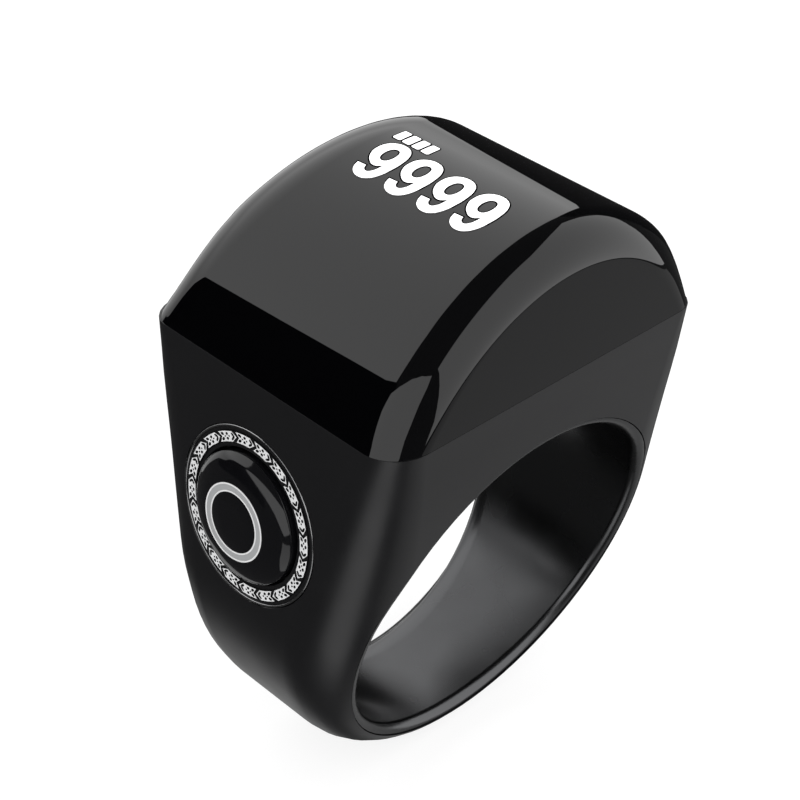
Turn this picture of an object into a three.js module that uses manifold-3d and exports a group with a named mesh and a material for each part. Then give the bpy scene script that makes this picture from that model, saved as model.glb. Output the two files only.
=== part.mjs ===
// A finger ring that counts: a signet-shaped metal body, an arched black display cover and a push button
// on its side.
// Millimetres. The origin is the centre of the finger bore, the bore runs along Y, +Z points to the display,
// and the push button is on the -X side.
import * as THREE from "three";
import { mergeVertices } from "three/addons/utils/BufferGeometryUtils.js";
import Module from "manifold-3d";

const wasm = await Module();
wasm.setup();

// Clearances
const slip = 0.05; // between pieces that slide in or drop in
const fitGap = 0.1; // round boards and trays
const overcut = 1; // how far a cutting shape runs past the face it opens

// Finger bore and its liner
const boreRadius = 10;
const linerWall = 0.55;
const linerLipRise = 0.5;
const linerFrontLip = 0.9;
const linerBackLip = 1.7;
const linerSteps = 72;

// Body, seen along the finger: a round band whose sides run straight up and lean in
const bandThickness = 2.65;
const bandCentreZ = 1.05;
const sideLean = THREE.MathUtils.degToRad(6.5);
const crownWall = 1.6;
const wellDepth = 2.8;
// Body, seen from the side: narrow under the finger, wider upwards, its edges bowed outwards
const bandHalfDepth = 4;
const headHalfDepth = 9.2;
const sideBow = 0.58;
// Fillet between the sides and the front and back faces: widest half way up
const bandFillet = 1.4;
const headFillet = 2.1;
const filletSwell = 2.05;

// Cavity in the head
const headSideWall = 1.91;
const headEndWall = 2.3;
const cavityCorner = 1.2;
const gasketDepth = 0.3;
const rimLand = 0.6;
const rimCorner = 1.6;

// Display cover
const coverRise = 8.15;
const archFlatness = 0.99;
const shoulderAngle = THREE.MathUtils.degToRad(50);
const coverWall = 1.3;
// Its front end stands almost upright, and its back end slopes and has a softer edge
const frontOverhang = THREE.MathUtils.degToRad(3);
const backSlope = THREE.MathUtils.degToRad(17);
const backFilletGrowth = 1.2;

// Push button, in its own frame: the side face is level 0 and levels grow outwards
const buttonDrop = 7.45;
const recessRadius = 4.85;
const recessDepth = 1.15;
const bezelLip = 0.5;
const capRadius = 3.6;
const capHeight = 1.1;
const capShoulder = 1.25;
const capShoulderHeight = 1.14;
const flangeRadius = 4.1;
const flangeThickness = 0.3;
const stemRadius = 1.2;
const buttonTravel = 0.2;
const ornamentInner = 3.74;
const ornamentOuter = 4.38;
const ornamentDepth = 0.3;
const ornamentRise = 0.06;
const ornamentLinks = 20;
const linkRelief = 0.14;
const lightOuter = 2.13;
const lightInner = 1.66;
const lightDepth = 0.3;
const sealRadius = 1.58;
const sealSection = 0.15;

// Switch behind the button
const switchLevel = 2.02;
const switchThickness = 0.5;
const switchWidth = 3.6;
const switchLength = 2.6;
const plungerRadius = 0.6;
const plungerRise = 0.2;
const plungerSunk = 0.2;
const pocketOpening = 0.8;
const ribbonThickness = 0.1;
const ribbonHalfWidth = 1.4;

// Electronics stack
const screwInsetX = 1.6;
const screwInsetY = 1.2;
const screwRadius = 0.5;
const screwHeadRadius = 0.9;
const screwHeadHeight = 0.5;
const screwBite = 1.4;
const trayHeight = 2.9;
const trayFloor = 0.45;
const boardThickness = 0.6;
const boardGap = 0.3;
const cellGap = 1;
const cellInsetX = 3;
const cellInsetY = 1.7;
const cellThickness = 2.1;
const padThickness = 0.15;
const motorInset = 1.5;
const motorRadius = 3.1;
const motorHeight = 2;
const motorWall = 0.2;
const motorFloor = 0.3;
const shaftRadius = 0.3;
const panelInsetX = 3.5;
const panelInsetY = 0.45;
const panelRise = 2.6;
const glassThickness = 0.62;
const panelLedge = 1.1;
const bracketPlate = 0.4;
const footHeight = 0.6;
const connectorHeight = 0.9;
const displayRibbonHalfWidth = 2.4;
const antennaInset = 1.1;
const tabInset = 1.6;

// Charging contacts at the top of the bore
const contactY = 3;
const contactRadius = 0.9;
const contactShank = 0.45;
const contactHead = 0.5;
const sleeveRadius = 1.2;
const contactTop = 0.3;

const black = { color: 0x1b1b1d, roughness: 0.35, metalness: 0.9 };
const gloss = { color: 0x08080a, roughness: 0.05, metalness: 0 };
const steel = { color: 0xc9cacc, roughness: 0.25, metalness: 1 };
const gold = { color: 0xd6b25e, roughness: 0.25, metalness: 1 };
const plastic = { color: 0x2a2b2e, roughness: 0.6, metalness: 0 };
const rubber = { color: 0x161616, roughness: 0.85, metalness: 0 };
const boardGreen = { color: 0x0e4a2c, roughness: 0.5, metalness: 0 };
const chip = { color: 0x18181a, roughness: 0.5, metalness: 0 };
const foil = { color: 0xa9adb3, roughness: 0.35, metalness: 0.9 };
const amber = { color: 0xb06a1c, roughness: 0.4, metalness: 0 };
const lit = { color: 0xd9dcdd, roughness: 0.3, metalness: 0 };
const ivory = { color: 0xd8d2c2, roughness: 0.55, metalness: 0 };

const bandRadius = boreRadius + bandThickness;
const floorZ = boreRadius + crownWall;
const partingZ = floorZ + wellDepth;
const crestZ = partingZ + coverRise;
const panelZ = partingZ + panelRise;
const buttonZ = partingZ - buttonDrop;
const boardZ = floorZ + trayHeight;
const boardTop = boardZ + boardThickness;
const seatRadius = boreRadius + linerWall + slip;
const tangent = {
  x: bandRadius * Math.cos(sideLean),
  z: bandCentreZ + bandRadius * Math.sin(sideLean),
};
const bandBottomZ = bandCentreZ - bandRadius;
const headHalfWidth = tangent.x - Math.tan(sideLean) * (partingZ - tangent.z);
const archRadius = archFlatness * headHalfWidth;
const cavityHalfX = headHalfWidth - headSideWall;
const cavityHalfY = headHalfDepth - headEndWall;
const boardHalfX = cavityHalfX - boardGap;
const boardHalfY = cavityHalfY - boardGap;
const screwX = cavityHalfX - screwInsetX;
const screwY = cavityHalfY - screwInsetY;
const motorX = motorInset + motorRadius - cavityHalfX;
const cellX0 = motorX + motorRadius + cellGap;
const cellX1 = cavityHalfX - cellInsetX;
const cellHalfY = cavityHalfY - cellInsetY;
const panelHalfX = cavityHalfX - panelInsetX;
const panelHalfY = cavityHalfY - panelInsetY;
const rebateHalfX = headHalfWidth - rimLand;
const rebateHalfY = headHalfDepth - rimLand;
const cellZ = floorZ + trayFloor + padThickness;
const motorZ = floorZ + motorFloor;

// Solids and meshes

function solid(geometry) {
  const bare = geometry.clone();
  bare.deleteAttribute("normal");
  bare.deleteAttribute("uv");
  const merged = mergeVertices(bare, 1e-4);
  const at = merged.index.array;
  const triangles = [];
  for (let i = 0; i < at.length; i += 3) {
    const [a, b, c] = [at[i], at[i + 1], at[i + 2]];
    if (a !== b && b !== c && c !== a) triangles.push(a, b, c);
  }
  const vertProperties = new Float32Array(merged.attributes.position.array);
  const make = (triVerts) => new wasm.Manifold(new wasm.Mesh({ numProp: 3, vertProperties, triVerts }));
  const made = make(new Uint32Array(triangles));
  return made.volume() > 0 ? made : make(new Uint32Array(triangles.reverse()));
}

function geometryOf(made) {
  const mesh = made.getMesh();
  const positions = new Float32Array(mesh.numVert * 3);
  for (let i = 0; i < mesh.numVert; i++) {
    positions.set(mesh.vertProperties.subarray(i * mesh.numProp, i * mesh.numProp + 3), i * 3);
  }
  const geometry = new THREE.BufferGeometry();
  geometry.setAttribute("position", new THREE.BufferAttribute(positions, 3));
  geometry.setIndex(new THREE.BufferAttribute(new Uint32Array(mesh.triVerts), 1));
  geometry.computeVertexNormals();
  return geometry;
}

function addPart(parent, name, made, look) {
  const material = new THREE.MeshStandardMaterial({ ...look, flatShading: true });
  const mesh = new THREE.Mesh(geometryOf(made), material);
  mesh.name = name;
  parent.add(mesh);
  return mesh;
}

// Basic forms

function blockGeometry(x0, x1, y0, y1, z0, z1) {
  const box = new THREE.BoxGeometry(x1 - x0, y1 - y0, z1 - z0);
  return box.translate((x0 + x1) / 2, (y0 + y1) / 2, (z0 + z1) / 2);
}

function block(x0, x1, y0, y1, z0, z1) {
  return solid(blockGeometry(x0, x1, y0, y1, z0, z1));
}

function roundedRectangle(halfX, halfY, corner) {
  const shape = new THREE.Shape();
  shape.absarc(halfX - corner, halfY - corner, corner, 0, Math.PI / 2);
  shape.absarc(corner - halfX, halfY - corner, corner, Math.PI / 2, Math.PI);
  shape.absarc(corner - halfX, corner - halfY, corner, Math.PI, Math.PI * 1.5);
  shape.absarc(halfX - corner, corner - halfY, corner, Math.PI * 1.5, Math.PI * 2);
  shape.closePath();
  return shape;
}

function plate(shape, z0, z1, curveSegments = 6) {
  const settings = { depth: z1 - z0, bevelEnabled: false, curveSegments };
  return solid(new THREE.ExtrudeGeometry(shape, settings).translate(0, 0, z0));
}

// A shape drawn in X and Z, made wide along Y.
function strip(points, y0, y1) {
  const shape = new THREE.Shape(points.map(([x, z]) => new THREE.Vector2(x, z)));
  const geometry = new THREE.ExtrudeGeometry(shape, { depth: y1 - y0, bevelEnabled: false });
  return solid(geometry.rotateX(Math.PI / 2).translate(0, y1, 0));
}

// A solid of revolution about Z from [radius, z] points.
function turnedGeometry(profile, segments = 48) {
  const points = profile.map(([radius, z]) => new THREE.Vector2(radius, z));
  return new THREE.LatheGeometry(points, segments).rotateX(Math.PI / 2);
}

function turned(profile, segments) {
  return solid(turnedGeometry(profile, segments));
}

function rodProfile(radius, z0, z1) {
  return [[0, z0], [radius, z0], [radius, z1], [0, z1]];
}

function tubeProfile(inner, outer, z0, z1) {
  return [[inner, z0], [outer, z0], [outer, z1], [inner, z1], [inner, z0]];
}

function rod(radius, z0, z1, segments) {
  return turned(rodProfile(radius, z0, z1), segments);
}

function tube(inner, outer, z0, z1, segments) {
  return turned(tubeProfile(inner, outer, z0, z1), segments);
}

function rodAt(x, y, radius, z0, z1, segments = 24) {
  return solid(turnedGeometry(rodProfile(radius, z0, z1), segments).translate(x, y, 0));
}

// A ribbon of even thickness along a path drawn in X and Z.
function ribbon(path, thickness, y0, y1) {
  const half = thickness / 2;
  const side = (sign) => path.map(([x, z], i) => {
    const [ax, az] = path[Math.max(i - 1, 0)];
    const [bx, bz] = path[Math.min(i + 1, path.length - 1)];
    const length = Math.hypot(bx - ax, bz - az);
    return [x - (sign * half * (bz - az)) / length, z + (sign * half * (bx - ax)) / length];
  });
  return strip([...side(1), ...side(-1).reverse()], y0, y1);
}

// Body and cover: an outline seen along the finger, lofted front to back, with a fillet round both ends

function mirrored(half) {
  const left = half.map((p) => ({ ...p, x: -p.x, nx: -p.nx }));
  return [...left, ...half.slice(0, -1).reverse()];
}

// Rings from the outer edge of one end's fillet in to its flat face. side is -1 at the front, 1 at the back.
function filletedEnd(outlineAt, end, side, steps) {
  const rings = [];
  for (let k = 0; k <= steps; k++) {
    const turn = ((Math.PI / 2) * k) / steps;
    const outline = outlineAt((z) => end.inset + (end.fillet(z) - end.inset) * (1 - Math.sin(turn)));
    const fall = (z) => (end.fillet(z) - end.inset) * (1 - Math.cos(turn));
    rings.push(outline.map((p) => [p.x, side * (end.depth(p.z) - fall(p.z)), p.z]));
  }
  return rings;
}

function filletedLoft(outlineAt, frontEnd, backEnd, steps) {
  const front = filletedEnd(outlineAt, frontEnd, -1, steps);
  const back = filletedEnd(outlineAt, backEnd, 1, steps);
  return skinned([...front, ...back.reverse()]);
}

// Closes rings of points, each running from the left end of an open outline to its right end.
function skinned(rings) {
  const count = rings[0].length;
  const last = rings.length - 1;
  const triangles = [];
  const quad = (a, b, c, d) => triangles.push(a, b, c, a, c, d);
  for (let k = 0; k < last; k++) {
    const at = k * count;
    for (let i = 0; i < count - 1; i++) {
      quad(at + i, at + i + 1, at + count + i + 1, at + count + i);
    }
    quad(at, at + count, at + 2 * count - 1, at + count - 1);
  }
  const middle = (count - 1) / 2;
  const backFace = last * count;
  for (let i = 0; i < middle; i++) {
    const j = count - 1 - i;
    if (i + 1 === middle) {
      triangles.push(i, j, middle, backFace + i, backFace + middle, backFace + j);
    } else {
      quad(i, j, j - 1, i + 1);
      quad(backFace + i, backFace + i + 1, backFace + j - 1, backFace + j);
    }
  }
  const geometry = new THREE.BufferGeometry();
  geometry.setAttribute("position", new THREE.Float32BufferAttribute(rings.flat(2), 3));
  geometry.setIndex(triangles);
  return solid(geometry);
}

function bodyShare(z) {
  return (z - bandBottomZ) / (partingZ - bandBottomZ);
}

function bodyHalfDepth(z) {
  const u = bodyShare(z);
  return bandHalfDepth + (headHalfDepth - bandHalfDepth) * u + 4 * sideBow * u * (1 - u);
}

function bodyFillet(z) {
  const u = bodyShare(z);
  return bandFillet + (headFillet - bandFillet) * u + 4 * filletSwell * u * (1 - u);
}

function bodyOutline(insetAt) {
  const sideSteps = 8;
  const arcSteps = 24;
  const half = [];
  const side = { nx: Math.cos(sideLean), nz: Math.sin(sideLean) };
  for (let i = 0; i < sideSteps; i++) {
    const t = i / sideSteps;
    const x = headHalfWidth + (tangent.x - headHalfWidth) * t;
    half.push({ x, z: partingZ + (tangent.z - partingZ) * t, ...side });
  }
  for (let i = 0; i <= arcSteps; i++) {
    const a = sideLean - ((sideLean + Math.PI / 2) * i) / arcSteps;
    const [nx, nz] = [Math.cos(a), Math.sin(a)];
    half.push({ x: bandRadius * nx, z: bandCentreZ + bandRadius * nz, nx, nz });
  }
  const inset = half.map((p) => {
    const d = insetAt(p.z);
    return { x: p.x - d * p.nx, z: p.z - d * p.nz };
  });
  const top = inset[0];
  top.x -= (partingZ - top.z) * Math.tan(sideLean);
  top.z = partingZ;
  inset[inset.length - 1].x = 0;
  return mirrored(inset);
}

// How far a point of the front or back face lies from the body's outline.
function distanceToOutline(x, z) {
  const onBand = Math.atan2(z - bandCentreZ, Math.abs(x)) < sideLean;
  if (onBand) return bandRadius - Math.hypot(x, z - bandCentreZ);
  return (tangent.x - Math.abs(x)) * Math.cos(sideLean) + (tangent.z - z) * Math.sin(sideLean);
}

// Half depth of the body at a point of its front face, with the fall of its fillet.
function faceDepth(x, z) {
  const fillet = bodyFillet(z);
  const share = Math.max(1 - distanceToOutline(x, z) / fillet, 0);
  return bodyHalfDepth(z) - fillet * (1 - Math.sqrt(1 - share * share));
}

// The cover's arch: a wide arc over the top and a flatter one down each side to the parting plane.
const arch = (() => {
  const centreZ = crestZ - archRadius;
  const shoulder = {
    x: archRadius * Math.sin(shoulderAngle),
    z: centreZ + archRadius * Math.cos(shoulderAngle),
  };
  const run = headHalfWidth - shoulder.x;
  const drop = shoulder.z - partingZ;
  const bend = Math.atan2(drop, run) - shoulderAngle;
  const sideRadius = Math.hypot(run, drop) / (2 * Math.sin(bend));
  const sideX = shoulder.x - sideRadius * Math.sin(shoulderAngle);
  const sideZ = shoulder.z - sideRadius * Math.cos(shoulderAngle);
  return { centreZ, sideRadius, sideX, sideZ };
})();

function archOutline(insetAt, skirt = 0) {
  const archSteps = 12;
  const sideSteps = 6;
  const endAngle = Math.acos((partingZ - arch.sideZ) / (arch.sideRadius - insetAt(partingZ)));
  const half = [];
  for (let i = 0; i < sideSteps; i++) {
    const a = endAngle + ((shoulderAngle - endAngle) * i) / sideSteps;
    const inset = i === 0 ? insetAt(partingZ) : insetAt(arch.sideZ + arch.sideRadius * Math.cos(a));
    const radius = arch.sideRadius - inset;
    half.push({ x: arch.sideX + radius * Math.sin(a), z: arch.sideZ + radius * Math.cos(a) });
  }
  for (let i = 0; i <= archSteps; i++) {
    const a = shoulderAngle * (1 - i / archSteps);
    const radius = archRadius - insetAt(arch.centreZ + archRadius * Math.cos(a));
    half.push({ x: radius * Math.sin(a), z: arch.centreZ + radius * Math.cos(a) });
  }
  if (skirt > 0) half.unshift({ x: half[0].x, z: partingZ - skirt });
  half[half.length - 1].x = 0;
  return mirrored(half);
}

function coverFrontDepth(z) {
  return headHalfDepth + Math.tan(frontOverhang) * Math.max(z - partingZ, 0);
}

function coverBackDepth(z) {
  return headHalfDepth - Math.tan(backSlope) * Math.max(z - partingZ, 0);
}

function coverBackFillet(z) {
  return headFillet + (backFilletGrowth * Math.max(z - partingZ, 0)) / (crestZ - partingZ);
}

function coverSolid() {
  const outer = filletedLoft(
    (insetAt) => archOutline(insetAt),
    { depth: coverFrontDepth, fillet: () => headFillet, inset: 0 },
    { depth: coverBackDepth, fillet: coverBackFillet, inset: 0 },
    6,
  );
  const hollow = filletedLoft(
    (insetAt) => archOutline(insetAt, overcut),
    { depth: (z) => coverFrontDepth(z) - coverWall, fillet: () => headFillet, inset: coverWall },
    { depth: (z) => coverBackDepth(z) - coverWall, fillet: () => headFillet, inset: coverWall },
    4,
  );
  return outer.subtract(hollow);
}

// The button's own frame: X up the side face, Y along the finger, Z out of the face.
const buttonFrame = new THREE.Group();
buttonFrame.position.set(-(tangent.x - Math.tan(sideLean) * (buttonZ - tangent.z)), 0, buttonZ);
buttonFrame.rotation.y = sideLean - Math.PI / 2;
buttonFrame.updateMatrixWorld(true);

function inButtonFrame(geometry) {
  return solid(geometry.applyMatrix4(buttonFrame.matrixWorld));
}

function buttonPoint(up, out) {
  const point = new THREE.Vector3(up, 0, out).applyMatrix4(buttonFrame.matrixWorld);
  return [point.x, point.z];
}

const sealSeat = recessDepth + 2 * sealSection;
const pocketFront = switchLevel - plungerRise - fitGap;
const pocketBack = switchLevel + switchThickness + ribbonThickness + 0.06;
const stemTip = switchLevel - plungerRise - 0.03;

function housingSolid() {
  const pocketHalfLength = switchLength / 2 + 2 * fitGap;
  const pocketHalfWidth = switchWidth / 2 + 2 * fitGap;
  const pocketTop = floorZ - buttonZ + pocketOpening;
  const boreLength = 2 * headHalfDepth + 2 * overcut;
  const bore = new THREE.CylinderGeometry(seatRadius, seatRadius, boreLength, 96);
  const end = { depth: bodyHalfDepth, fillet: bodyFillet, inset: 0 };
  let body = filletedLoft(bodyOutline, end, end, 6);
  const cuts = [
    solid(bore),
    plate(roundedRectangle(cavityHalfX, cavityHalfY, cavityCorner), floorZ, partingZ + overcut),
    plate(roundedRectangle(rebateHalfX, rebateHalfY, rimCorner), partingZ - gasketDepth, partingZ + overcut),
    inButtonFrame(turnedGeometry(rodProfile(recessRadius, -recessDepth, overcut + 1), 64)),
    inButtonFrame(turnedGeometry(rodProfile(stemRadius + fitGap, -pocketFront - overcut / 4, overcut), 32)),
    inButtonFrame(turnedGeometry(rodProfile(sealRadius + sealSection + slip, -sealSeat, overcut), 48)),
    inButtonFrame(
      blockGeometry(
        ...[-pocketHalfLength, pocketTop],
        ...[-pocketHalfWidth, pocketHalfWidth],
        ...[-pocketBack, -pocketFront],
      ),
    ),
  ];
  for (const [x, y] of screwPlaces()) {
    cuts.push(rodAt(x, y, screwRadius + slip, floorZ - screwBite - slip, floorZ + overcut));
  }
  for (const y of [-contactY, contactY]) {
    cuts.push(rodAt(0, y, sleeveRadius + slip, boreRadius - overcut, floorZ + overcut));
  }
  for (const cut of cuts) body = body.subtract(cut);
  return body;
}

function screwPlaces() {
  return [[-screwX, -screwY], [screwX, -screwY], [screwX, screwY], [-screwX, screwY]];
}

// The liner follows the body's sloping faces, so its rounded lips are drawn at each angle round the bore.
function linerSolid() {
  const outer = boreRadius + linerWall;
  const lipSteps = 4;
  const positions = [];
  for (let k = 0; k < linerSteps; k++) {
    const a = (Math.PI * 2 * k) / linerSteps;
    const [x, z] = [Math.cos(a), Math.sin(a)];
    const face = faceDepth(outer * x, outer * z) - slip;
    const lip = (side, depth) => {
      const foot = Math.min(bodyHalfDepth(boreRadius * z) - depth, face - depth / 2);
      const points = [[outer, side * face]];
      for (let i = 0; i <= lipSteps; i++) {
        const turn = ((Math.PI / 2) * i) / lipSteps;
        const rise = linerLipRise * (1 - Math.sin(turn));
        points.push([boreRadius + rise, side * (face - (face - foot) * (1 - Math.cos(turn)))]);
      }
      return points;
    };
    const section = [...lip(-1, linerFrontLip), ...lip(1, linerBackLip).reverse()];
    for (const [radius, y] of section) positions.push(radius * x, y, radius * z);
  }
  const count = 2 * (lipSteps + 2);
  const triangles = [];
  for (let k = 0; k < linerSteps; k++) {
    const next = (k + 1) % linerSteps;
    for (let j = 0; j < count; j++) {
      const m = (j + 1) % count;
      const [a, b, c, d] = [k * count + j, k * count + m, next * count + m, next * count + j];
      triangles.push(a, b, c, a, c, d);
    }
  }
  const geometry = new THREE.BufferGeometry();
  geometry.setAttribute("position", new THREE.Float32BufferAttribute(positions, 3));
  geometry.setIndex(triangles);
  let liner = solid(geometry);
  for (const y of [-contactY, contactY]) {
    liner = liner.subtract(rodAt(0, y, sleeveRadius + slip, boreRadius - overcut, floorZ));
  }
  return liner;
}

function gasketSolid() {
  const outline = roundedRectangle(rebateHalfX - slip, rebateHalfY - slip, rimCorner);
  const ring = plate(outline, partingZ - gasketDepth, partingZ);
  const [innerX, innerY] = [cavityHalfX + slip, cavityHalfY + slip];
  const window = roundedRectangle(innerX, innerY, cavityCorner);
  return ring.subtract(plate(window, partingZ - overcut, partingZ + overcut));
}

// Button pieces, drawn in the button's frame

function bezelSolid() {
  const outer = recessRadius - slip;
  const lipInner = ornamentInner;
  const flangeBore = flangeRadius + fitGap;
  return turned([
    [flangeBore, -recessDepth],
    [outer, -recessDepth],
    [outer, -0.05],
    [outer - 0.05, 0],
    [ornamentOuter + slip, 0],
    [ornamentOuter + slip, -ornamentDepth],
    [lipInner, -ornamentDepth],
    [lipInner, -bezelLip],
    [flangeBore, -bezelLip],
    [flangeBore, -recessDepth],
  ], 64);
}

// Arrow-shaped links stand on a thin band, each nested in the notch of the next.
function ornamentSolid() {
  const band = tube(ornamentInner, ornamentOuter, -ornamentDepth, ornamentRise - linkRelief, 80);
  const inner = ornamentInner + 0.02;
  const outer = ornamentOuter - 0.02;
  const middle = (inner + outer) / 2;
  const step = (Math.PI * 2) / ornamentLinks;
  const gap = step * 0.07;
  const lead = step * 0.2;
  const polar = (radius, a) => new THREE.Vector2(radius * Math.cos(a), radius * Math.sin(a));
  const links = [];
  for (let i = 0; i < ornamentLinks; i++) {
    const a0 = i * step + gap;
    const a1 = (i + 1) * step - gap;
    const mid = (a0 + a1) / 2;
    const outline = [
      polar(outer, a0), polar(outer, mid), polar(outer, a1),
      polar(middle, a1 + lead),
      polar(inner, a1), polar(inner, mid), polar(inner, a0),
      polar(middle, a0 + lead),
    ];
    links.push(plate(new THREE.Shape(outline), ornamentRise - linkRelief - 0.02, ornamentRise));
  }
  return links.reduce((all, link) => all.add(link), band);
}

function capSolid() {
  const shoulderSteps = 8;
  const crown = 0.06;
  const top = -bezelLip - slip;
  const grooveFloor = capHeight - lightDepth;
  const profile = [
    [0, -stemTip],
    [stemRadius, -stemTip],
    [stemRadius, top - flangeThickness],
    [flangeRadius, top - flangeThickness],
    [flangeRadius, top],
    [capRadius, top],
  ];
  for (let i = 0; i <= shoulderSteps; i++) {
    const a = ((Math.PI / 2) * i) / shoulderSteps;
    const radius = capRadius - capShoulder * (1 - Math.cos(a));
    profile.push([radius, capHeight - crown - capShoulderHeight * (1 - Math.sin(a))]);
  }
  profile.push([lightOuter + 0.02, capHeight - crown / 2], [lightOuter + 0.02, grooveFloor]);
  profile.push([lightInner - 0.02, grooveFloor], [lightInner - 0.02, capHeight - crown / 3], [0, capHeight]);
  return turned(profile, 64);
}

function lightRingSolid() {
  const top = capHeight - 0.02;
  const bottom = capHeight - lightDepth;
  return turned([
    [lightInner, bottom],
    [lightOuter, bottom],
    [lightOuter, top - 0.03],
    [lightOuter - 0.03, top],
    [lightInner + 0.03, top],
    [lightInner, top - 0.03],
    [lightInner, bottom],
  ], 64);
}

function sealSolid() {
  const steps = 8;
  const profile = [];
  for (let i = 0; i <= steps; i++) {
    const a = (Math.PI * 2 * i) / steps;
    profile.push([sealRadius + sealSection * Math.cos(a), -sealSeat + sealSection * (1 + Math.sin(a))]);
  }
  return turned(profile, 32);
}

function switchBodySolid() {
  const [x, y] = [switchLength / 2, switchWidth / 2];
  const body = plate(roundedRectangle(x, y, 0.2), -switchLevel - switchThickness, -switchLevel, 3);
  const floor = -switchLevel - plungerSunk - buttonTravel - 0.02;
  return body.subtract(rod(plungerRadius + slip, floor, overcut, 24));
}

function plungerSolid() {
  return rod(plungerRadius, -switchLevel - plungerSunk, -switchLevel + plungerRise, 24);
}

function switchRibbonSolid() {
  const level = -switchLevel - switchThickness - ribbonThickness / 2 - 0.02;
  const foot = buttonPoint(-switchLength / 2, level);
  const rise = buttonPoint(4.2, level);
  const bend = 0.35;
  const topZ = boardTop + ribbonThickness / 2 + 0.02;
  const path = [foot, buttonPoint(-switchLength / 4, level), rise, [rise[0] + 0.02, boardZ]];
  for (let i = 0; i <= 4; i++) {
    const a = Math.PI - ((Math.PI / 2) * i) / 4;
    path.push([rise[0] + 0.04 + bend + bend * Math.cos(a), topZ - bend + bend * Math.sin(a)]);
  }
  path.push([rise[0] + 1.9, topZ]);
  return ribbon(path, ribbonThickness, -ribbonHalfWidth, ribbonHalfWidth);
}

// Electronics stack

function traySolid() {
  const [x, y] = [cavityHalfX - fitGap, cavityHalfY - fitGap];
  const outline = roundedRectangle(x, y, cavityCorner);
  let tray = plate(outline, floorZ, boardZ);
  const ribbonWay = ribbonHalfWidth + 2 * fitGap;
  const cuts = [
    block(cellX0 - fitGap, cellX1 + 2 * fitGap, -cellHalfY - 4 * fitGap, cellHalfY + 4 * fitGap,
      floorZ + trayFloor, boardZ + overcut),
    block(cellX0 - 5 * fitGap, 0.7, -contactY - 0.7, contactY + 0.7, floorZ - overcut, boardZ + overcut),
    rodAt(motorX, 0, motorRadius + fitGap, motorZ, boardZ + overcut, 48),
    block(-cavityHalfX - overcut, 1.1 - cavityHalfX, -ribbonWay, ribbonWay, floorZ - overcut,
      boardZ + overcut),
  ];
  for (const [sx, sy] of screwPlaces()) {
    cuts.push(rodAt(sx, sy, screwRadius + slip, floorZ - overcut, boardZ + overcut));
  }
  for (const cut of cuts) tray = tray.subtract(cut);
  return tray;
}

function boardSolid() {
  let board = plate(roundedRectangle(boardHalfX, boardHalfY, 1), boardZ, boardTop);
  const reach = ribbonHalfWidth + fitGap;
  const notchEnd = 0.8 - cavityHalfX;
  const notch = block(-boardHalfX - overcut, notchEnd, -reach, reach, boardZ - overcut, boardTop + overcut);
  board = board.subtract(notch);
  for (const [x, y] of screwPlaces()) {
    board = board.subtract(rodAt(x, y, screwRadius + slip, boardZ - overcut, boardTop + overcut));
  }
  return board;
}

function screwSolid(x, y) {
  const seat = boardTop + footHeight;
  const tip = floorZ - screwBite;
  const profile = [
    [0, tip],
    [screwRadius * 0.6, tip],
    [screwRadius, tip + 0.3],
    [screwRadius, seat],
    [screwHeadRadius, seat],
    [screwHeadRadius, seat + screwHeadHeight * 0.6],
    [screwHeadRadius * 0.8, seat + screwHeadHeight],
    [0, seat + screwHeadHeight],
  ];
  const body = solid(turnedGeometry(profile, 24).translate(x, y, 0));
  const [slotHalf, slotArm] = [0.1, screwHeadRadius * 0.6];
  const slotZ = seat + screwHeadHeight * 0.5;
  const across = block(x - slotArm, x + slotArm, y - slotHalf, y + slotHalf, slotZ, slotZ + overcut);
  const along = block(x - slotHalf, x + slotHalf, y - slotArm, y + slotArm, slotZ, slotZ + overcut);
  return body.subtract(across).subtract(along);
}

function bracketSolid() {
  const plateZ = panelZ - bracketPlate;
  const [plateX, plateY] = [panelHalfX + 0.6, panelHalfY - 0.05];
  let bracket = plate(roundedRectangle(plateX, plateY, 0.6), plateZ, panelZ);
  const opening = roundedRectangle(plateX - 3, plateY - 1.6, 0.6);
  bracket = bracket.subtract(plate(opening, plateZ - overcut, panelZ + overcut));
  for (const sx of [-1, 1]) {
    for (const sy of [-1, 1]) {
      const foot = plate(roundedRectangle(1.25, 0.85, 0.4), boardTop, boardTop + footHeight);
      const leg = block(-0.3, 0.3, -0.6, 0.6, boardTop + 0.1, plateZ + 0.1);
      bracket = bracket.add(foot.translate([sx * (screwX - 0.35), sy * screwY, 0]));
      bracket = bracket.add(leg.translate([sx * (plateX - 0.55), sy * (plateY - 0.8), 0]));
    }
    const lip = block(-0.22, 0.22, 1.95 - panelHalfY, panelHalfY - 1.95, panelZ - 0.1, panelZ + 0.5);
    bracket = bracket.add(lip.translate([sx * (panelHalfX + slip + 0.24), 0, 0]));
  }
  const reach = displayRibbonHalfWidth + 2 * fitGap;
  const slot = block(-plateX - overcut, 1.6 - panelHalfX, -reach, reach, plateZ - overcut, panelZ + overcut);
  bracket = bracket.subtract(slot);
  for (const [x, y] of screwPlaces()) {
    const hole = rodAt(x, y, screwRadius + slip, boardTop - overcut, boardTop + footHeight + 0.2);
    bracket = bracket.subtract(hole);
  }
  return bracket;
}

function panelSolid() {
  const top = panelZ + 2 * glassThickness;
  const lower = block(-panelHalfX, panelHalfX, -panelHalfY, panelHalfY, panelZ, panelZ + glassThickness);
  const upperX = panelLedge - panelHalfX;
  return lower.add(block(upperX, panelHalfX, -panelHalfY, panelHalfY, panelZ + glassThickness - 0.05, top));
}

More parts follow.
